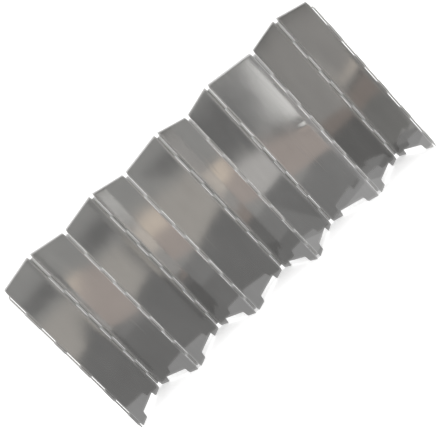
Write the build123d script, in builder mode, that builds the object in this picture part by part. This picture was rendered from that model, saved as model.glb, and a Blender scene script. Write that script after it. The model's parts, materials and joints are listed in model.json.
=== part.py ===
"""Folding windscreen for a camping stove: ten thin aluminium panels in a row, hinged edge to edge.

Each panel is one stamped sheet.  Along its two upright edges, tongues of the sheet are curled
round a steel wire, and the curls of one panel fit between the curls of the next, as in a piano
hinge.  The wires of the nine inner hinges are plain pins.  The two outer wires are ground stakes
with a bent head: they slide down through the curls of the free edges into the soil.

Millimetres.  +Z is up, +X runs along the row, -Y faces the cook.  The origin is on the ground,
under the middle of the standing row.
"""
from build123d import *
from math import cos, radians, sin
import os

# ---- driving dimensions -------------------------------------------------------------------
PANEL_PITCH = 85.0          # hinge axis to hinge axis, measured along the sheet
PANEL_HEIGHT = 240.0
SHEET = 0.4                 # sheet thickness
WIRE_RADIUS = 1.0           # hinge pins and stakes are cut from the same 2 mm wire
WIRE_CLEARANCE = 0.07       # between the wire and the inside of a curl
CURL_TURN = 305.0           # how far a tongue is rolled round its wire, in degrees
EDGE_GAP = 1.5              # from a hinge axis to the cut edge of the flat sheet, between curls

# The way the row stands: the direction of each sheet, turned from +X towards +Y, in degrees.
HEADINGS = (62.5, -48.0, 57.0, -55.0, 46.5, -63.5, 59.5, -42.5, 51.0, -69.0)

# ---- curl rows, from the ground up --------------------------------------------------------
END_NOTCH = 5.6             # no curl this close to the foot or to the top edge
END_NOTCH_GAP = 2.9         # from a hinge axis to the sheet's corners, which the notch cuts back
CURL_LENGTH = 19.5          # the curls of a panel's first edge
CURL_SPACING = 42.5         # from the start of one of them to the start of the next
TOP_CURL_LENGTH = 26.5      # the uppermost of them is longer
CURL_COUNT = 5
CURL_PLAY = 0.3             # end play between the curls of two panels

# ---- foot and air cut-out at the lower edge -----------------------------------------------
FOOT_REACH = 20.3           # from the hinge axis to the inner corner of a foot
CUTOUT_HEIGHT = 7.5
CUTOUT_DRAFT = 1.6          # how far the cut-out's sides lean in over its height
CUTOUT_ROUND = 2.4          # radius of the cut-out's four corners
CORNER_ROUND = 1.5          # radius of the sheet's outer corners

# ---- wires --------------------------------------------------------------------------------
PIN_PROUD = 0.5             # a pin stands this far out of the end curls
PIN_CHAMFER = 0.3
STAKE_HEAD_HEIGHT = 229.0   # centre line of the bent head above the ground
STAKE_BEND = 2.5            # centre-line radius of the bend
STAKE_ARM = 9.0             # length of the head, from the stake's axis
STAKE_ARM_LEAN = 20.0       # the head leans away from the sheet by this angle, in degrees
STAKE_POINT = 5.0           # length of the pointed end
STAKE_POINT_RADIUS = 0.3

# ---- worked out ---------------------------------------------------------------------------
CURL_RADIUS = WIRE_RADIUS + WIRE_CLEARANCE + SHEET / 2     # from the axis to mid-sheet
PANEL_COUNT = len(HEADINGS)
SHEET_TOP = PANEL_HEIGHT - END_NOTCH


def first_edge_rows():
    """The curl rows of a panel's first edge, as (bottom, top) heights."""
    rows = []
    for index in range(CURL_COUNT):
        bottom = END_NOTCH + index * CURL_SPACING
        is_top = index == CURL_COUNT - 1
        rows.append((bottom, bottom + (TOP_CURL_LENGTH if is_top else CURL_LENGTH)))
    return rows


def second_edge_rows():
    """The curl rows that fill the gaps of the first edge, up to the notch at the top."""
    starts = [top + CURL_PLAY for _, top in first_edge_rows()]
    ends = [bottom - CURL_PLAY for bottom, _ in first_edge_rows()[1:]] + [SHEET_TOP]
    return list(zip(starts, ends))


def along(heading):
    """Unit vector along a sheet that points this way."""
    return Vector(cos(radians(heading)), sin(radians(heading)), 0)


def across(heading):
    """Unit vector square to the sheet, towards the far side of the row."""
    return Vector(-sin(radians(heading)), cos(radians(heading)), 0)


def curl_side(panel, edge):
    """+1 where the axis lies on the far side of the sheet, -1 where it lies on the near side.

    The two edges of a panel curl opposite ways, and so do neighbouring panels: that is what
    lets the row fold up like a concertina.  edge is 0 for the first edge, 1 for the second.
    """
    return 1 if (panel + edge) % 2 == 0 else -1


def standing_row():
    """Where the sheets and the hinge axes stand, centred on the origin.

    Returns the start point of every sheet (mid-sheet, on its first edge) and the eleven axes.
    """
    axes = [Vector(0, 0, 0)]
    starts = []
    for panel, heading in enumerate(HEADINGS):
        start = axes[-1] - across(heading) * (CURL_RADIUS * curl_side(panel, 0))
        end = start + along(heading) * PANEL_PITCH
        starts.append(start)
        axes.append(end + across(heading) * (CURL_RADIUS * curl_side(panel, 1)))
    centre = Vector(
        (min(a.X for a in axes) + max(a.X for a in axes)) / 2,
        (min(a.Y for a in axes) + max(a.Y for a in axes)) / 2,
        0,
    )
    return [s - centre for s in starts], [a - centre for a in axes]


SHEET_STARTS, AXES = standing_row()
UP = Vector(0, 0, 1)


def sheet_outline():
    """The first half of the flat sheet's outline, as (distance along the sheet, height) points.

    It runs from the middle of the lower edge round the first edge to the middle of the top.
    """
    middle = PANEL_PITCH / 2
    return [
        (middle, CUTOUT_HEIGHT),
        (FOOT_REACH + CUTOUT_DRAFT, CUTOUT_HEIGHT),
        (FOOT_REACH, 0),
        (END_NOTCH_GAP, 0),
        (EDGE_GAP, END_NOTCH),
        (EDGE_GAP, SHEET_TOP),
        (END_NOTCH_GAP, PANEL_HEIGHT),
        (middle, PANEL_HEIGHT),
    ]


def curl_plane(panel, edge, row):
    """The plane of a curl's profile: x runs into the sheet, y towards the hinge axis."""
    heading = HEADINGS[panel]
    inward = along(heading) * (1 if edge == 0 else -1)
    to_axis = across(heading) * curl_side(panel, edge)
    foot = SHEET_STARTS[panel] + along(heading) * (PANEL_PITCH * edge)
    normal = inward.cross(to_axis)
    bottom, top = row
    return Plane(origin=foot + UP * (bottom if normal.Z > 0 else top), x_dir=inward, z_dir=normal)


def make_panel(panel, rows_by_edge):
    """One stamped panel: the flat sheet with its feet, and the curled tongues of both edges."""
    heading = HEADINGS[panel]
    sheet_plane = Plane(
        origin=SHEET_STARTS[panel], x_dir=along(heading), z_dir=across(heading) * -1
    )
    curl_end = -90 - CURL_TURN
    with BuildPart() as made:
        with BuildSketch(sheet_plane):
            with BuildLine():
                half = Polyline(*sheet_outline())
                mirror(half, about=Plane.YZ.offset(PANEL_PITCH / 2))
            make_face()
            levels = vertices().group_by(Axis.Y)
            cutout_corners = levels[0].sort_by(Axis.X)[1:3] + levels[2]
            outer_corners = levels[0].sort_by(Axis.X)[::3] + levels[-1]
            fillet(cutout_corners, CUTOUT_ROUND)
            fillet(outer_corners, CORNER_ROUND)
        extrude(amount=SHEET / 2, both=True)
        for edge, rows in enumerate(rows_by_edge):
            for row in rows:
                with BuildSketch(curl_plane(panel, edge, row)):
                    with BuildLine():
                        axis = (0, CURL_RADIUS)
                        outer = CenterArc(axis, CURL_RADIUS + SHEET / 2, -90, -CURL_TURN)
                        inner = CenterArc(axis, CURL_RADIUS - SHEET / 2, curl_end, CURL_TURN)
                        Line(outer @ 1, inner @ 0)
                        Polyline(inner @ 1, (EDGE_GAP, SHEET / 2), (EDGE_GAP, -SHEET / 2), outer @ 0)
                    make_face()
                extrude(amount=row[1] - row[0])
    return made


def make_pin(axis):
    """A plain hinge pin, as long as the curls and a little proud of them at both ends."""
    bottom = END_NOTCH - PIN_PROUD
    with BuildPart() as made:
        with BuildSketch(Plane.XY.offset(bottom)):
            with Locations((axis.X, axis.Y)):
                Circle(WIRE_RADIUS)
        extrude(amount=SHEET_TOP + PIN_PROUD - bottom)
        ends = faces().filter_by(Axis.Z)
        chamfer(ends.edges(), PIN_CHAMFER)
    return made


def make_stake(panel, edge):
    """A ground stake in the curls of a free edge: pointed below, its head bent over the sheet."""
    axis = AXES[panel + edge]
    inward = HEADINGS[panel] + 180 * edge
    lean = STAKE_ARM_LEAN * curl_side(panel, edge) * (1 if edge == 0 else -1)
    arm = along(inward + lean) * STAKE_ARM
    with BuildPart() as made:
        with BuildLine():
            FilletPolyline(
                axis + UP * STAKE_POINT,
                axis + UP * STAKE_HEAD_HEIGHT,
                axis + UP * STAKE_HEAD_HEIGHT + arm,
                radius=STAKE_BEND,
            )
        with BuildSketch(Plane(origin=axis + UP * STAKE_POINT, z_dir=(0, 0, 1))):
            Circle(WIRE_RADIUS)
        sweep()
        with Locations(axis + UP * (STAKE_POINT / 2)):
            Cone(STAKE_POINT_RADIUS, WIRE_RADIUS, STAKE_POINT)
    return made


def save(made, name):
    """Name a finished piece and write it to its own file."""
    made.part.label = name
    export_step(made.part, f"parts/{name}.step")


os.makedirs("parts", exist_ok=True)

first_rows = first_edge_rows()
second_rows = second_edge_rows()
for panel in range(PANEL_COUNT):
    # The last panel is stamped with the first edge's rows on both sides, so that the two free
    # edges of the row are alike and either stake fits either end.
    is_last = panel == PANEL_COUNT - 1
    save(make_panel(panel, (first_rows, first_rows if is_last else second_rows)), f"panel_{panel + 1}")

for hinge in range(1, PANEL_COUNT):
    save(make_pin(AXES[hinge]), f"hinge_pin_{hinge}")

save(make_stake(0, 0), "stake_left")
save(make_stake(PANEL_COUNT - 1, 1), "stake_right")
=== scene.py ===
# %% [markdown]
# # A folding windscreen for a camping stove
#
# Ten thin aluminium panels stand in a zigzag.  Each panel is one stamped sheet whose edges are
# curled round steel wires, so the panels hinge on each other like the leaves of a piano hinge.
# The engineering model gives the place of every part.  This notebook makes the parts as they
# look: thin sheet with a little spring in it, rolled curls, drawn wire, and a studio for the
# bright metal to reflect.

# %% Load the frame
import json
from math import atan2, cos, hypot, pi, radians, sin

import bmesh
import bpy
import numpy as np
from mathutils import Matrix, Vector


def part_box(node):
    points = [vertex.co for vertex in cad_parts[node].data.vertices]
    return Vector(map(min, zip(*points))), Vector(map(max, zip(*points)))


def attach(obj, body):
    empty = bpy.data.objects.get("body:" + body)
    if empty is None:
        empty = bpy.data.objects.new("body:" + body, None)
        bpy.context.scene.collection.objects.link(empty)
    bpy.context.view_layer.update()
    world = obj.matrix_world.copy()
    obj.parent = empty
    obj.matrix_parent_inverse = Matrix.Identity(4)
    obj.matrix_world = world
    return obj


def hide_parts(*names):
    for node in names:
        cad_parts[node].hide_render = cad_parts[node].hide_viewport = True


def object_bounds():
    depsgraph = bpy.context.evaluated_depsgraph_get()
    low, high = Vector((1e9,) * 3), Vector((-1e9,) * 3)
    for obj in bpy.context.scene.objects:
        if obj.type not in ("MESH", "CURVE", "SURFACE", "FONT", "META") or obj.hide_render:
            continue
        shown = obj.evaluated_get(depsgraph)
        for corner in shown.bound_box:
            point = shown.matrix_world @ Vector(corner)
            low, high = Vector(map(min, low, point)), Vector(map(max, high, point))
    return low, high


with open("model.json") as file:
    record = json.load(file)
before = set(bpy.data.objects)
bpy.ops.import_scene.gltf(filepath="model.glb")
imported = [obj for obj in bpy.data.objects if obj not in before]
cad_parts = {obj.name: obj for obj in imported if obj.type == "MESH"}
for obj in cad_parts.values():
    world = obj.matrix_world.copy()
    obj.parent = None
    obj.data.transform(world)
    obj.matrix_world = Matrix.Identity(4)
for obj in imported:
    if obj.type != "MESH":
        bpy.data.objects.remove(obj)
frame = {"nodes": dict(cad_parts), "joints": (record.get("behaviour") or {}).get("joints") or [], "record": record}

cad_low, cad_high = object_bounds()
nodes = frame["nodes"]
record = frame["record"]
print("nodes:", len(nodes), " box:", [round(h - l, 4) for l, h in zip(cad_low, cad_high)])

# %% [markdown]
# ## The sizes of one panel
#
# A Blender unit is a metre here, so every size is given in millimetres and scaled once.  These
# are the sizes that the sheet was stamped and rolled to.  They could be measured off the frame's
# meshes, but the named values say what each one is for.

# %% Sizes
MM = 0.001
SHEET = 0.4 * MM              # thickness of the aluminium
WIRE_RADIUS = 1.0 * MM
CURL_RADIUS = 1.27 * MM       # from a hinge axis to the middle of the rolled sheet
CURL_TURN = radians(305)      # how far a tongue is rolled round its wire
EDGE_GAP = 1.5 * MM           # from a hinge axis to the cut edge of the flat sheet
HEIGHT = cad_high[2]
END_NOTCH = 5.6 * MM          # no curl this close to the feet or the top edge
END_NOTCH_GAP = 2.9 * MM      # from a hinge axis to the sheet's corners, cut back by the notch
CURL_LENGTH = 19.5 * MM
CURL_SPACING = 42.5 * MM
TOP_CURL_LENGTH = 26.5 * MM
CURL_COUNT = 5
CURL_PLAY = 0.3 * MM          # end play between the curls of two panels
FOOT_REACH = 20.3 * MM        # from a hinge axis to the inner corner of a foot
CUTOUT_HEIGHT = 7.5 * MM
CUTOUT_DRAFT = 1.6 * MM
CUTOUT_ROUND = 2.4 * MM
CORNER_ROUND = 1.5 * MM
PANEL_COUNT = 10

first_rows = []
for index in range(CURL_COUNT):
    bottom = END_NOTCH + index * CURL_SPACING
    length = TOP_CURL_LENGTH if index == CURL_COUNT - 1 else CURL_LENGTH
    first_rows.append((bottom, bottom + length))
gaps_start = [top + CURL_PLAY for _, top in first_rows]
gaps_end = [bottom - CURL_PLAY for bottom, _ in first_rows[1:]] + [HEIGHT - END_NOTCH]
second_rows = list(zip(gaps_start, gaps_end))
print("curls of a first edge (mm):", [(round(a / MM, 1), round(b / MM, 1)) for a, b in first_rows])

# %% [markdown]
# ## Where the panels stand
#
# The joints of the frame say where the nine inner hinges are, and two mounts say where the ground
# stakes are.  That makes eleven upright axes.  A sheet doesn't run straight from axis to axis: it
# lies against the side of each curl, on opposite sides at its two edges, so its direction is
# turned a little from the line between them.

# %% Axes and sheet directions
joint_place = {joint["name"]: joint.get("pos_m") for joint in frame["joints"]}
mount_place = {mount["name"]: mount["pos_m"] for mount in record["mounts"]}
axes = [mount_place["ground_stake_left"]]
axes += [joint_place[f"hinge_{k}"] for k in range(1, PANEL_COUNT)]
axes += [mount_place["ground_stake_right"]]
axes = np.array(axes)[:, :2]


def panel_frame(panel):
    """Start point, direction along the sheet, direction square to it, and its width.

    The line between the two axes is the hypotenuse of a triangle whose short side is twice the
    curl radius.  side is +1 where the first axis lies on the far side of the sheet.
    """
    first, second = axes[panel], axes[panel + 1]
    side = 1 if panel % 2 == 0 else -1
    span = hypot(*(second - first))
    width = (span**2 - (2 * CURL_RADIUS) ** 2) ** 0.5
    heading = atan2(*(second - first)[::-1]) + side * atan2(2 * CURL_RADIUS, width)
    along = np.array([cos(heading), sin(heading)])
    across = np.array([-sin(heading), cos(heading)])
    return first - across * CURL_RADIUS * side, along, across, width, side


directions = [panel_frame(panel)[1] for panel in range(PANEL_COUNT)]
print("panel directions (deg):", [round(np.degrees(atan2(y, x)), 1) for x, y in directions])

# %% [markdown]
# ## The outline of the sheet
#
# The lower edge has two feet with an air gap between them.  A profile like this is easiest as a
# short list of corners, each with a radius: the helper puts an arc at every corner.  The points
# only ever move to the right, so each of them can carry one upright line of the mesh.


# %% Rounded profile
COLUMN_STEP = 3 * MM          # widest gap between two upright lines of the mesh


def rounded_profile(corners, radii, arc_steps=6):
    """Points along a polyline whose inner corners are arcs of the given radii.

    Each arc is centred on the corner's bisector; its points are the centre plus the radius
    turned evenly from one tangent point to the other.
    """
    corners = np.array(corners)
    pieces = [corners[:1]]
    for before, corner, after, radius in zip(corners, corners[1:], corners[2:], radii):
        a, b = before - corner, after - corner
        a, b = a / np.linalg.norm(a), b / np.linalg.norm(b)
        half = np.arccos(np.clip(a @ b, -1, 1)) / 2
        bisector = (a + b) / np.linalg.norm(a + b)
        centre = corner + bisector * radius / sin(half)
        start = corner + a * radius / np.tan(half) - centre
        end = corner + b * radius / np.tan(half) - centre
        turn = np.linspace(0, 1, arc_steps + 1)[:, None]
        swing = pi - 2 * half
        arc = (start * np.sin((1 - turn) * swing) + end * np.sin(turn * swing)) / sin(swing)
        pieces.append(centre + arc)
    pieces.append(corners[-1:])
    return np.concatenate(pieces)


def lower_edge(width):
    """The sheet's lower edge from its first side to its last, as (distance, height)."""
    left = [
        (EDGE_GAP, END_NOTCH),
        (END_NOTCH_GAP, 0),
        (FOOT_REACH, 0),
        (FOOT_REACH + CUTOUT_DRAFT, CUTOUT_HEIGHT),
        (width / 2, CUTOUT_HEIGHT),
    ]
    radii = [CORNER_ROUND, CUTOUT_ROUND, CUTOUT_ROUND]
    half = rounded_profile(left, radii)
    runs = [fill_between(start, end, COLUMN_STEP) for start, end in zip(half, half[1:])]
    half = np.concatenate([*runs, half[-1:]])
    return np.concatenate([half, half[-2::-1] * (-1, 1) + (width, 0)])


def fill_between(start, end, step):
    """Evenly spaced points from start towards end, no further apart than step, end left out."""
    count = max(1, int(np.ceil(np.linalg.norm(end - start) / step)))
    return start + (end - start) * (np.arange(count) / count)[:, None]


panel_width = panel_frame(0)[3]
print("points along the lower edge:", len(lower_edge(panel_width)))

# %% [markdown]
# ## Spring in the sheet
#
# Thin rolled sheet is never quite flat after stamping.  It bows between its stiff curled edges by
# a tenth of a millimetre or so.  Nobody would see that on paint, but bright metal shows it: each
# small slope bends the reflections.  The bow is added as a smooth height field that fades to
# nothing at the curls, so the hinges still line up.


# %% The bow of each sheet
LONG_WAVE = 0.055 * MM        # heights of the three waves that run up a panel
SHORT_WAVE = 0.022 * MM
TWIST_WAVE = 0.028 * MM
BULGE = 0.10 * MM             # the most that a panel bulges to either side
BENT_PANEL = 8                # counted from 0
BEND = 0.85 * MM
DENTED_PANEL = 7
DENT_DEPTH = 0.20 * MM
DENT_HEIGHT = 127 * MM
DENT_ALONG = 0.83             # as a part of the panel's width
DENT_HALF_WIDTH = 9 * MM
DENT_HALF_HEIGHT = 3 * MM


def sheet_bow(panel, u, z, width):
    """How far the middle of the sheet stands out of its plane.

    Two slow sine waves up the panel times half a sine wave across it, one that leans the other
    way on the panel's other half, and an even bulge, all with seeded random phases.  One panel
    has taken a bend across its width, and one has a small dent, which is a bell curve.
    """
    random = np.random.default_rng(40 + panel)
    phases = random.uniform(0, 2 * pi, 4)
    across_panel = np.sin(pi * np.clip(u / width, 0, 1))
    skew = np.sin(2 * pi * np.clip(u / width, 0, 1))
    up = z / HEIGHT
    bow = LONG_WAVE * across_panel * np.sin(2 * pi * up + phases[0])
    bow += SHORT_WAVE * across_panel * np.sin(5 * pi * up + phases[1])
    bow += TWIST_WAVE * skew * np.sin(3 * pi * up + phases[2])
    bow += BULGE * random.uniform(-1, 1) * across_panel
    if panel == BENT_PANEL:
        bow += BEND * across_panel * (0.75 + 0.25 * np.cos(pi * up))
    if panel == DENTED_PANEL:
        beside = (u - DENT_ALONG * width) / DENT_HALF_WIDTH
        above = (z - DENT_HEIGHT) / DENT_HALF_HEIGHT
        bow -= DENT_DEPTH * np.exp(-(beside**2) - above**2)
    return bow


# %% [markdown]
# ## One stamped panel
#
# The flat part is a grid: each point of the lower edge carries one upright column, and the rows
# are placed so that they fall on the ends of every curl.  A curl is then just a narrow strip of
# the same grid that carries on over the edge and round the wire.  Making both from one grid keeps
# the sheet in one piece, as the real one is, and lets Solidify give it an even thickness.

# %% Panel surface
FEET_TOP = 12 * MM            # from here up the rows are level
NOTCH_START = 228 * MM        # and from here on they fan out to the notched top corners


def curl_profile(steps=26):
    """Distances into the sheet and towards the axis, along one curl, from the sheet outwards.

    A short flat run to beneath the axis, and then an arc of the curl's radius and turn.
    """
    angle = -pi / 2 - np.linspace(0, CURL_TURN, steps)
    arc = np.stack([CURL_RADIUS * np.cos(angle), CURL_RADIUS + CURL_RADIUS * np.sin(angle)], 1)
    return np.concatenate([[[EDGE_GAP / 2, 0]], arc])


def row_heights(step=2.5 * MM):
    """Heights of the grid's rows on the sheet's edge: all the curls' ends, and steps between."""
    fixed = {END_NOTCH, FEET_TOP, NOTCH_START, HEIGHT - END_NOTCH}
    fixed |= {height for row in first_rows + second_rows for height in row}
    fixed = np.array(sorted(round(height, 7) for height in fixed))
    counts = np.maximum(1, np.ceil(np.diff(fixed) / step).astype(int))
    runs = [low + (high - low) * np.arange(n) / n for low, high, n in zip(fixed, fixed[1:], counts)]
    return np.concatenate(runs + [fixed[-1:]])


def panel_surface(panel):
    """Middle surface of one panel: points, quads, unrolled positions, and two values per point.

    The flat grid is stretched between the lower and the upper outline.  Above the feet the rows
    are level, so that the curls' strips can share the points of the outermost columns.  The two
    values are the distance to the nearest cut edge, and how far into a curl the point lies.
    """
    start, along, across, width, side = panel_frame(panel)
    edge = lower_edge(width)
    u, lower = edge[:, 0], edge[:, 1]
    from_side = np.minimum(u, width - u)
    upper = HEIGHT - np.where(from_side < FOOT_REACH / 2, lower, 0)
    rows = row_heights()[:, None]
    from_low = (rows - END_NOTCH) / (FEET_TOP - END_NOTCH)
    from_high = (HEIGHT - END_NOTCH - rows) / (HEIGHT - END_NOTCH - NOTCH_START)
    z = np.where(rows < FEET_TOP, lower + from_low * (FEET_TOP - lower), rows + 0 * u)
    z = np.where(rows > NOTCH_START, upper - from_high * (upper - NOTCH_START), z)
    rows = rows[:, 0]
    grid_u = u + 0 * z
    bow = sheet_bow(panel, grid_u, z, width)
    to_side = np.minimum(grid_u, width - grid_u) - EDGE_GAP
    to_edge = np.minimum(to_side, np.minimum(z - lower, upper - z))
    points = [np.stack([grid_u, bow, z], -1).reshape(-1, 3)]
    unrolled = [np.stack([grid_u, z], -1).reshape(-1, 2)]
    edge_distance = [to_edge.ravel()]
    in_curl = [0 * to_edge.ravel()]
    columns = len(u)
    number = np.arange(len(rows) * columns).reshape(len(rows), columns)
    quads = [grid_quads(number)]

    profile = curl_profile()
    rolled = np.cumsum(np.hypot(*np.diff(np.concatenate([[[EDGE_GAP, 0]], profile]), axis=0).T))
    last = panel == PANEL_COUNT - 1
    for end, spans in ((0, first_rows), (1, first_rows if last else second_rows)):
        for bottom, top in spans:
            picked = np.nonzero((rows > bottom - 1e-6) & (rows < top + 1e-6))[0]
            height = rows[picked][:, None] + 0 * profile[:, 0]
            inward = profile[:, 0] + 0 * height
            to_axis = profile[:, 1] + 0 * height
            distance = EDGE_GAP - rolled + 0 * height
            turn = side if end == 0 else -side
            strip_u = inward if end == 0 else width - inward
            strip_flat = distance if end == 0 else width - distance
            first_number = sum(len(part) for part in points)
            points.append(np.stack([strip_u, turn * to_axis, height], -1).reshape(-1, 3))
            unrolled.append(np.stack([strip_flat, height], -1).reshape(-1, 2))
            tip = (rolled[-1] - rolled) + 0 * height
            ends = np.minimum(height - bottom, top - height)
            edge_distance.append(np.minimum(tip, ends).ravel())
            in_curl.append((np.clip(rolled / EDGE_GAP, 0, 1) + 0 * height).ravel())
            strip = first_number + np.arange(height.size).reshape(height.shape)
            joined = np.concatenate([number[picked, 0 if end == 0 else -1][:, None], strip], 1)
            quads.append(grid_quads(joined if end else joined[:, ::-1]))

    local = np.concatenate(points)
    flat = start + local[:, :1] * along + local[:, 1:2] * across
    world = np.concatenate([flat, local[:, 2:]], 1)
    values = {"edge_distance": np.concatenate(edge_distance), "in_curl": np.concatenate(in_curl)}
    return world, np.concatenate(quads), np.concatenate(unrolled), values


def grid_quads(number):
    """Quads of a grid of vertex numbers, row by row."""
    corners = [number[:-1, :-1], number[:-1, 1:], number[1:, 1:], number[1:, :-1]]
    return np.stack(corners, -1).reshape(-1, 4)


def new_mesh(name, points, faces):
    """A mesh from an array of points and an array of faces."""
    mesh = bpy.data.meshes.new(name)
    mesh.from_pydata(points.tolist(), [], faces.tolist())
    mesh.validate()
    return mesh


def place(mesh, name, body, material, node):
    """Put a finished mesh into the scene in the place of one CAD node."""
    piece = bpy.data.objects.new(name, mesh)
    bpy.context.scene.collection.objects.link(piece)
    mesh.materials.append(material)
    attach(piece, body)
    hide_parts(node)
    return piece


points, quads, unrolled, values = panel_surface(0)
print("one panel:", len(points), "points,", len(quads), "quads")

# %% [markdown]
# ## Bare rolled aluminium
#
# The sheet leaves the rolling mill bright, with fine lines along the strip.  Handling adds hair
# scratches and faint smudges.  Along its rim the stamping tool has rubbed it duller, and the rim
# is also painted paler: painted light that lifts the shade in the narrow gaps beside the hinges.
# The rolled curls are duller and slightly darker.
#
# All of this is procedural: noise stretched along the sheet's own unrolled UV map, so that the
# rolling lines and scratches follow the metal round the curls.  The colour is a middle grey,
# because worn aluminium gives back only about six tenths of the light that falls on it.

# %% Node helpers
def add_node(material, kind, **settings):
    """A new node of a material with the given settings and unlinked input values."""
    node = material.node_tree.nodes.new(kind)
    for name, value in settings.items():
        if name in node.bl_rna.properties:
            setattr(node, name, value)
        else:
            node.inputs[name.replace("_", " ")].default_value = value
    return node


def wire_up(material, source, output, target, socket):
    """Link one node's output to another node's input."""
    material.node_tree.links.new(source.outputs[output], target.inputs[socket])


def stretched_noise(material, map_name, scale, stretch, detail=3.0, turn=0.0, w=0.0):
    """Noise on a UV map, stretched along the map's second direction and turned by an angle."""
    coordinates = add_node(material, "ShaderNodeUVMap", uv_map=map_name)
    size = (scale, scale / stretch, 1)
    mapping = add_node(material, "ShaderNodeMapping", Scale=size, Rotation=(0, 0, turn))
    noise = add_node(material, "ShaderNodeTexNoise", noise_dimensions="4D", W=w, Detail=detail)
    noise.inputs["Scale"].default_value = 1.0
    wire_up(material, coordinates, "UV", mapping, "Vector")
    wire_up(material, mapping, "Vector", noise, "Vector")
    return noise


def remap(material, source, output, low, high, to_low, to_high):
    """A clamped linear change of range."""
    node = add_node(material, "ShaderNodeMapRange", From_Min=low, From_Max=high)
    node.inputs["To Min"].default_value = to_low
    node.inputs["To Max"].default_value = to_high
    wire_up(material, source, output, node, "Value")
    return node


def calculate(material, operation, first, second):
    """A Math node on two inputs; each is a (node, output) pair or a number."""
    node = add_node(material, "ShaderNodeMath", operation=operation)
    for index, value in enumerate((first, second)):
        if isinstance(value, tuple):
            wire_up(material, value[0], value[1], node, index)
        else:
            node.inputs[index].default_value = value
    return node


def new_material(name):
    """An empty node material with a Principled shader on its output."""
    material = bpy.data.materials.new(name)
    material.use_nodes = True
    return material, material.node_tree.nodes["Principled BSDF"]


# %% Aluminium sheet
FLAT_MAP = "unrolled"
RIM_EDGE = 0.3 * MM           # this near a cut edge the rim is fully rubbed and painted lightest
RIM_WIDTH = 3.5 * MM          # and this far from it not at all


def aluminium():
    """Rolled sheet: grain lines up the panel, smudges, hair scratches, and a rubbed rim painted paler as painted
    light.
    """
    material, shader = new_material("rolled_aluminium")
    shader.inputs["Metallic"].default_value = 1.0
    smudges = stretched_noise(material, FLAT_MAP, 22.0, 1.3, detail=5.0)
    grain = stretched_noise(material, FLAT_MAP, 900.0, 60.0, detail=2.0, w=3.0)
    hairs = stretched_noise(material, FLAT_MAP, 420.0, 45.0, detail=1.0, turn=radians(24), w=7.0)
    lean = radians(-38)
    cross_hairs = stretched_noise(material, FLAT_MAP, 380.0, 40.0, detail=1.0, turn=lean, w=11.0)
    rim = add_node(material, "ShaderNodeAttribute", attribute_name="edge_distance")
    # The rim mask drives real rubbing, which makes the rim rougher, and painted light, which makes it paler.
    rim_rubbed_and_painted_light = remap(material, rim, "Fac", RIM_EDGE, RIM_WIDTH, 1.0, 0.0)

    scratch = remap(material, hairs, "Fac", 0.70, 0.74, 0.0, 1.0)
    cross_scratch = remap(material, cross_hairs, "Fac", 0.71, 0.75, 0.0, 1.0)
    scratches = calculate(material, "MAXIMUM", (scratch, "Result"), (cross_scratch, "Result"))

    tone = remap(material, smudges, "Fac", 0.3, 0.7, 0.565, 0.615)
    grain_tone = remap(material, grain, "Fac", 0.3, 0.7, -0.012, 0.012)
    tone = calculate(material, "ADD", (tone, "Result"), (grain_tone, "Result"))
    # Painted light: the rim's colour is made up to a third paler, which lifts the shade in the narrow gaps beside
    # the hinges and lightens the cut edges.
    painted_rim_light = remap(material, rim_rubbed_and_painted_light, "Result", 0.0, 1.0, 1.0, 1.32)
    tone = calculate(material, "MULTIPLY", (tone, 0), (painted_rim_light, "Result"))
    curl = add_node(material, "ShaderNodeAttribute", attribute_name="in_curl")
    curl_shade = remap(material, curl, "Fac", 0.0, 1.0, 1.0, 0.90)
    tone = calculate(material, "MULTIPLY", (tone, 0), (curl_shade, "Result"))
    colour = add_node(material, "ShaderNodeCombineColor")
    for channel, tint in (("Red", 1.0), ("Green", 0.995), ("Blue", 0.985)):
        tinted = calculate(material, "MULTIPLY", (tone, 0), tint)
        wire_up(material, tinted, 0, colour, channel)
    wire_up(material, colour, "Color", shader, "Base Color")

    roughness = remap(material, smudges, "Fac", 0.35, 0.7, 0.055, 0.10)
    scratch_rub = calculate(material, "MULTIPLY", (scratches, 0), 0.12)
    roughness = calculate(material, "ADD", (roughness, "Result"), (scratch_rub, 0))
    rim_rub = calculate(material, "MULTIPLY", (rim_rubbed_and_painted_light, "Result"), 0.22)
    roughness = calculate(material, "ADD", (roughness, 0), (rim_rub, 0))
    curl_rub = remap(material, curl, "Fac", 0.0, 1.0, 0.0, 0.26)
    roughness = calculate(material, "ADD", (roughness, 0), (curl_rub, "Result"))
    wire_up(material, roughness, 0, shader, "Roughness")

    relief = calculate(material, "MULTIPLY", (scratches, 0), -0.7)
    relief = calculate(material, "ADD", (relief, 0), (grain, "Fac"))
    bump = add_node(material, "ShaderNodeBump", Strength=0.5, Distance=0.01 * MM)
    wire_up(material, relief, 0, bump, "Height")
    wire_up(material, bump, "Normal", shader, "Normal")
    return material


# %% [markdown]
# ## Drawn steel wire
#
# The hinge pins and the two stakes are cut from hard drawn wire.  The die leaves faint lines
# along it, and its grey is a little warmer and duller than the sheet's.

# %% Steel wire finish
WIRE_MAP = "along_wire"


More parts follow.
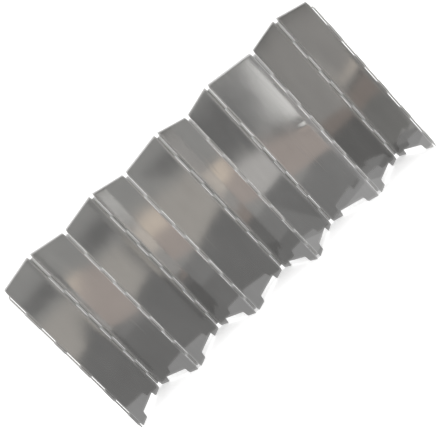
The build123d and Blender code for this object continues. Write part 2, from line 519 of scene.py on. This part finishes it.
def steel_wire():
    """Drawn wire: lines along its length, dull blotches and a rough grey surface."""
    material, shader = new_material("drawn_steel")
    shader.inputs["Metallic"].default_value = 1.0
    die_lines = stretched_noise(material, WIRE_MAP, 2400.0, 90.0, detail=2.0)
    blotches = stretched_noise(material, WIRE_MAP, 300.0, 4.0, detail=4.0, w=5.0)
    tone = remap(material, blotches, "Fac", 0.3, 0.7, 0.0, 1.0)
    colour = add_node(material, "ShaderNodeMix", data_type="RGBA")
    colour.inputs["A"].default_value = (0.50, 0.495, 0.48, 1)
    colour.inputs["B"].default_value = (0.66, 0.655, 0.64, 1)
    wire_up(material, tone, "Result", colour, "Factor")
    wire_up(material, colour, "Result", shader, "Base Color")
    roughness = remap(material, blotches, "Fac", 0.3, 0.7, 0.34, 0.22)
    wire_up(material, roughness, "Result", shader, "Roughness")
    bump = add_node(material, "ShaderNodeBump", Strength=0.2, Distance=0.01 * MM)
    wire_up(material, die_lines, "Fac", bump, "Height")
    wire_up(material, bump, "Normal", shader, "Normal")
    return material


sheet_finish = aluminium()
wire_finish = steel_wire()
print("finishes:", sheet_finish.name, wire_finish.name)

# %% [markdown]
# ## The ten panels
#
# Solidify turns the middle surface into sheet with an even thickness, and a very small Bevel
# takes the sharpness off its rim.  Both are applied here, so that the finished mesh carries the
# unrolled map and the distance to the rim that the finish reads.


# %% Make the panels
MAP_SPACING = 90 * MM         # the panels' maps lie side by side, so that no two look alike
RIM_ROUND = 0.07 * MM


def finished_panel(panel):
    """The panel's middle surface with its map, made solid and bevelled."""
    points, quads, unrolled, values = panel_surface(panel)
    mesh = new_mesh(f"sheet_{panel + 1}", points, quads)
    for name, value in values.items():
        attribute = mesh.attributes.new(name, "FLOAT", "POINT")
        attribute.data.foreach_set("value", value.astype(np.float32))
    corner_vertex = np.zeros(len(mesh.loops), np.int32)
    mesh.loops.foreach_get("vertex_index", corner_vertex)
    layer = mesh.uv_layers.new(name=FLAT_MAP)
    spread = unrolled + (panel * MAP_SPACING, 0)
    layer.uv.foreach_set("vector", spread[corner_vertex].astype(np.float32).ravel())

    draft = bpy.data.objects.new("draft", mesh)
    bpy.context.scene.collection.objects.link(draft)
    solid = draft.modifiers.new("thickness", "SOLIDIFY")
    solid.thickness = SHEET
    solid.offset = 0
    solid.use_even_offset = True
    edge = draft.modifiers.new("worn_rim", "BEVEL")
    edge.width = RIM_ROUND
    edge.segments = 2
    edge.limit_method = "ANGLE"
    edge.angle_limit = radians(60)
    scene_now = bpy.context.evaluated_depsgraph_get()
    made = bpy.data.meshes.new_from_object(draft.evaluated_get(scene_now))
    bpy.data.objects.remove(draft)
    made.name = f"sheet_{panel + 1}"
    made.shade_smooth()
    made.set_sharp_from_angle(angle=radians(30))
    return made


for panel in range(PANEL_COUNT):
    name = f"panel_{panel + 1}"
    made = finished_panel(panel)
    place(made, f"sheet_{panel + 1}", name, sheet_finish, name)
    print(name, "faces:", len(made.polygons))

# %% [markdown]
# ## Wires
#
# A wire is a circle carried along a path: nine straight hinge pins with chamfered ends, and two
# ground stakes with a point below and a bent head above.  One function makes them all, because
# only the path and the radius along it differ.

# %% Wire surface
PIN_PROUD = 0.5 * MM
PIN_CHAMFER = 0.3 * MM
STAKE_HEAD_HEIGHT = 229 * MM
STAKE_BEND = 2.5 * MM
STAKE_ARM = 9 * MM
STAKE_ARM_LEAN = radians(20)
STAKE_POINT = 5 * MM
STAKE_POINT_RADIUS = 0.3 * MM


def wire_mesh(name, path, radii, sides=28):
    """A circle of changing radius carried along a path that lies in one upright plane.

    Each ring is the path's point plus the radius times (cosine x the plane's normal + sine x the
    path's own normal).  Both ends are closed by a fan onto the path's end point.
    """
    path, radii = np.array(path, float), np.array(radii, float)
    run = np.gradient(path, axis=0)
    run /= np.linalg.norm(run, axis=1)[:, None]
    level = path[-1, :2] - path[0, :2]
    level = level / np.linalg.norm(level) if np.linalg.norm(level) > 1e-6 else np.array([0, 1])
    plane_normal = np.array([-level[1], level[0], 0])
    ring_normal = np.cross(run, plane_normal)
    angle = np.linspace(0, 2 * pi, sides, endpoint=False)
    cosine, sine = np.cos(angle)[None, :, None], np.sin(angle)[None, :, None]
    circle = cosine * plane_normal + sine * ring_normal[:, None]
    rings = path[:, None] + radii[:, None, None] * circle
    points = np.concatenate([rings.reshape(-1, 3), path[:1], path[-1:]])
    number = np.arange(len(path) * sides).reshape(len(path), sides)
    number = np.concatenate([number, number[:, :1]], 1)
    quads = grid_quads(number)
    first, last = len(points) - 2, len(points) - 1
    caps = [(first, b, a) for a, b in zip(number[0], number[0, 1:])]
    caps += [(last, a, b) for a, b in zip(number[-1], number[-1, 1:])]
    mesh = bpy.data.meshes.new(name)
    mesh.from_pydata(points.tolist(), [], [*map(tuple, quads.tolist()), *caps])
    bm = bmesh.new()
    bm.from_mesh(mesh)
    bmesh.ops.recalc_face_normals(bm, faces=bm.faces)
    bm.to_mesh(mesh)
    bm.free()

    travelled = np.concatenate([[0], np.cumsum(np.linalg.norm(np.diff(path, axis=0), axis=1))])
    round_it = angle * WIRE_RADIUS
    place_on_map = np.stack(np.meshgrid(round_it, travelled), -1).reshape(-1, 2)
    place_on_map = np.concatenate([place_on_map, [[0, 0], [0, travelled[-1]]]])
    corner_vertex = np.zeros(len(mesh.loops), np.int32)
    mesh.loops.foreach_get("vertex_index", corner_vertex)
    layer = mesh.uv_layers.new(name=WIRE_MAP)
    layer.uv.foreach_set("vector", place_on_map[corner_vertex].astype(np.float32).ravel())
    mesh.shade_smooth()
    mesh.set_sharp_from_angle(angle=radians(35))
    return mesh


# %% [markdown]
# ## Hinge pins
#
# A pin runs through all the curls of its hinge and stands half a millimetre proud of them.  The
# end faces are cut square with a small chamfer, so the radius steps down over the last ring.

# %% Make the hinge pins
pin_bottom = END_NOTCH - PIN_PROUD
pin_top = HEIGHT - END_NOTCH + PIN_PROUD
for hinge in range(1, PANEL_COUNT):
    straight = np.linspace(pin_bottom + PIN_CHAMFER, pin_top - PIN_CHAMFER, 24)
    heights = np.concatenate([[pin_bottom], straight, [pin_top]])
    radii = np.full(len(heights), WIRE_RADIUS)
    radii[[0, -1]] -= PIN_CHAMFER
    path = np.stack([0 * heights + axes[hinge, 0], 0 * heights + axes[hinge, 1], heights], 1)
    made = wire_mesh(f"pin_{hinge}", path, radii)
    place(made, f"pin_{hinge}", f"panel_{hinge}", wire_finish, f"hinge_pin_{hinge}")
print("pins:", PANEL_COUNT - 1, " length (mm):", round((pin_top - pin_bottom) / MM, 1))

# %% [markdown]
# ## Ground stakes
#
# Each stake slides in the curls of a free edge.  Its head is bent over with pliers, so that it
# can be pushed and pulled, and leans a little away from the sheet.


# %% Make the stakes
FIRST_RING = 0.12             # where the point's second ring lies, as a part of its length


def stake_path(axis, direction):
    """Up the axis, round a quarter circle of the bend's radius, and out along the direction."""
    bend_height = STAKE_HEAD_HEIGHT - STAKE_BEND
    shaft = np.linspace(STAKE_POINT, bend_height, 40)
    shaft = np.concatenate([[0, FIRST_RING * STAKE_POINT], shaft])
    turn = np.linspace(0, pi / 2, 12)[1:]
    arm = np.linspace(STAKE_BEND, STAKE_ARM, 6)[1:]
    reach = np.concatenate([0 * shaft, STAKE_BEND * (1 - np.cos(turn)), arm])
    bend = bend_height + STAKE_BEND * np.sin(turn)
    height = np.concatenate([shaft, bend, 0 * arm + STAKE_HEAD_HEIGHT])
    return np.stack([axis[0] + direction[0] * reach, axis[1] + direction[1] * reach, height], 1)


ends = (("stake_left", axes[0], 0, 1), ("stake_right", axes[-1], PANEL_COUNT - 1, -1))
for name, axis, panel, sign in ends:
    _, along, _, _, _ = panel_frame(panel)
    heading = atan2(along[1] * sign, along[0] * sign) + STAKE_ARM_LEAN * sign
    path = stake_path(axis, (cos(heading), sin(heading)))
    radii = np.full(len(path), WIRE_RADIUS)
    radii[0] = STAKE_POINT_RADIUS
    radii[1] = STAKE_POINT_RADIUS + FIRST_RING * (WIRE_RADIUS - STAKE_POINT_RADIUS)
    made = wire_mesh(f"{name}_wire", path, radii)
    place(made, f"{name}_wire", name, wire_finish, name)
    low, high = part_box(name)
    print(name, "CAD box (mm)", [round(v / MM, 2) for v in (*low, *high)])

# %% [markdown]
# ## Studio floor
#
# A plain pale sheet of paper: flat under the object, and curving up far behind it, so that no
# horizon shows.  It is a profile of a line, an arc and a line carried sideways.  The metal must
# not mirror white paper right up to its feet, so this sheet is left out of reflections.  It
# glows faintly, which keeps it white under the feet.

# %% Floor and backdrop
def paper_sweep(half_width=6.0, near=-5.0, back=5.0, radius=2.0, top=5.0):
    """A level line, a quarter circle and an upright line, carried straight from side to side."""
    turn = np.linspace(0, pi / 2, 25)
    depth = np.concatenate([[near, 0.0], back - radius + radius * np.sin(turn), [back]])
    height = np.concatenate([[0.0, 0.0], radius - radius * np.cos(turn), [top]])
    sideways = np.array([-half_width, half_width])
    x = sideways[None, :] + 0 * depth[:, None]
    points = np.stack([x, depth[:, None] + 0 * x, height[:, None] + 0 * x], -1).reshape(-1, 3)
    number = np.arange(x.size).reshape(x.shape)
    return new_mesh("paper", points, grid_quads(number))


paper, paper_shader = new_material("paper")
fibres = add_node(paper, "ShaderNodeTexNoise", Scale=60.0, Detail=4.0)
paper_place = add_node(paper, "ShaderNodeTexCoord")
wire_up(paper, paper_place, "Object", fibres, "Vector")
fibre_tone = remap(paper, fibres, "Fac", 0.3, 0.7, 0.93, 0.95)
paper_colour = add_node(paper, "ShaderNodeCombineColor")
for channel in ("Red", "Green", "Blue"):
    wire_up(paper, fibre_tone, "Result", paper_colour, channel)
wire_up(paper, paper_colour, "Color", paper_shader, "Base Color")
paper_shader.inputs["Roughness"].default_value = 0.9
paper_shader.inputs["Specular IOR Level"].default_value = 0.1
paper_shader.inputs["Emission Color"].default_value = (1.0, 1.0, 1.0, 1)
paper_shader.inputs["Emission Strength"].default_value = 0.20

floor = bpy.data.objects.new("studio_floor", paper_sweep())
bpy.context.scene.collection.objects.link(floor)
floor.data.materials.append(paper)
floor.data.shade_smooth()
floor.visible_glossy = False
print("floor: ", [round(v, 2) for v in floor.dimensions])

# %% [markdown]
# ## Cards for the metal to mirror
#
# Bright metal has hardly any look of its own: it shows what lies around it.  A product studio
# lays cards round such an object.  Here they lie flat on the ground and are seen by reflections
# only.  The camera looks down, and upright panels keep a reflected ray going down, so a panel
# mirrors the ground: its foot shows what is near, its top what is far off.
#
# A wide middle-grey card surrounds the feet and makes the dark lower half of the panels.
# Further out come pale cards on the left and in the middle and a warm one on the right, with
# darker patches between them, which make the soft bands.  A narrow bright card stands for a
# window and makes the upright light band near one hinge.  Other lights could do this too, but a
# card's edges and brightness can be set one by one.


# %% Reflection cards
LOWEST_CARD = -1.5 * MM       # the cards lie just under the floor, which reflections don't see
CARD_STEP = 0.1 * MM


def card(name, corners, colour, layer):
    """A level polygon that glows evenly and shows in reflections only.

    The cards overlap like sheets of paper: each lies one step above the one before it.
    """
    height = LOWEST_CARD + layer * CARD_STEP
    points = np.array([(x, y, height) for x, y in corners])
    mesh = new_mesh(name, points, np.array([range(len(corners))]))
    material, shader = new_material(name)
    shader.inputs["Base Color"].default_value = (0, 0, 0, 1)
    shader.inputs["Specular IOR Level"].default_value = 0
    shader.inputs["Emission Color"].default_value = (*colour, 1)
    shader.inputs["Emission Strength"].default_value = 1.0
    mesh.materials.append(material)
    piece = bpy.data.objects.new(name, mesh)
    bpy.context.scene.collection.objects.link(piece)
    piece.visible_camera = False
    piece.visible_diffuse = False
    piece.visible_shadow = False
    piece.visible_transmission = False


def grey(level):
    """A neutral colour of one brightness."""
    return (level, level, level)


# Each card's name, colour and corners in metres.  -Y is the side that the camera looks from.
cards = [
    ("card_ground", grey(0.41), [(-6, -6), (6, -6), (6, 6), (-6, 6)]),
    ("card_near_right", grey(0.51), [(0.09, 0.02), (0.00, -0.26), (0.60, -0.56), (0.80, -0.05)]),
    ("card_near_end", (0.70, 0.70, 0.69), [(0.21, -0.02), (0.15, -0.40), (0.24, -0.42), (0.32, -0.04)]),
    ("card_far", (0.69, 0.69, 0.68), [(-1.8, -2.6), (2.2, -2.6), (2.2, -0.60), (-1.8, -0.66)]),
    ("card_behind", (0.84, 0.84, 0.83), [(-2.6, 0.42), (2.6, 0.50), (2.6, 2.6), (-2.6, 2.6)]),
    ("card_dark_left", grey(0.36), [(-0.68, -0.86), (-0.76, -0.73), (-1.05, -0.95), (-0.80, -1.07)]),
    (
        "card_pale_left",
        (0.92, 0.88, 0.83),
        [(-0.15, -0.33), (-0.43, -0.38), (-0.69, -0.70), (-0.50, -0.82), (-0.22, -0.55)],
    ),
    ("card_dark_middle", grey(0.36), [(-0.11, -0.54), (-0.22, -0.54), (-0.68, -1.42), (-0.32, -1.46)]),
    (
        "card_pale_middle",
        (1.09, 1.07, 1.05),
        [(0.12, -0.29), (-0.17, -0.34), (-0.22, -1.50), (0.46, -1.50)],
    ),
    (
        "card_warm_right",
        (0.90, 0.80, 0.75),
        [(0.02, -0.25), (0.30, -0.30), (0.64, -0.60), (0.36, -0.66)],
    ),
    (
        "card_bright_right",
        (1.50, 1.31, 1.12),
        [(0.38, -0.48), (0.45, -0.46), (0.60, -0.60), (0.51, -0.66)],
    ),
    ("card_glow", (1.85, 1.70, 1.55), [(0.14, -0.52), (0.20, -0.54), (0.28, -0.80), (0.21, -0.80)]),
    ("card_grey_right", grey(0.52), [(0.31, -0.64), (0.40, -0.72), (0.68, -1.50), (0.54, -1.50)]),
    (
        "card_window",
        (1.95, 1.95, 1.93),
        [(0.22, -0.56), (0.265, -0.60), (0.55, -1.50), (0.46, -1.50)],
    ),
]
for layer, (name, colour, corners) in enumerate(cards):
    card(name, corners, colour, layer)
print("cards:", len(cards))

# %% [markdown]
# ## Light and camera
#
# The light is an even white sky and one large soft lamp overhead, which gives the feet a faint
# shadow on the paper.  The lamp is left out of reflections too: a lamp mirrored in the curls
# would make hard white dots.

# %% Light
world = bpy.data.worlds.new("soft_sky")
world.use_nodes = True
world.node_tree.nodes["Background"].inputs["Color"].default_value = (1.0, 1.0, 1.0, 1)
world.node_tree.nodes["Background"].inputs["Strength"].default_value = 1.0
bpy.context.scene.world = world

lamp = bpy.data.objects.new("overhead_lamp", bpy.data.lights.new("overhead_lamp", "AREA"))
lamp.data.shape = "RECTANGLE"
lamp.data.size, lamp.data.size_y = 3.0, 3.0
lamp.data.energy = 45
lamp.location = (0.3, -0.4, 2.6)
lamp.visible_glossy = False
bpy.context.scene.collection.objects.link(lamp)

# %% Camera
elevation = radians(12.75)
roll = radians(43.72)
distance = 1.484
target = Vector((-0.0008, 0, 0.1168))
forward = Vector((0, cos(elevation), -sin(elevation)))
right = Vector((1, 0, 0))
up = right.cross(forward)
rolled_up = up * cos(roll) + right * sin(roll)
rolled_right = forward.cross(rolled_up)
camera = bpy.data.objects.new("camera", bpy.data.cameras.new("camera"))
bpy.context.scene.collection.objects.link(camera)
camera.data.lens = 98.45
camera.data.sensor_width = 36
camera.data.clip_end = 50
turn = Matrix((rolled_right, rolled_up, -forward)).transposed()
camera.matrix_world = Matrix.Translation(target - forward * distance) @ turn.to_4x4()
bpy.context.scene.camera = camera
bpy.context.scene.view_settings.view_transform = "Standard"
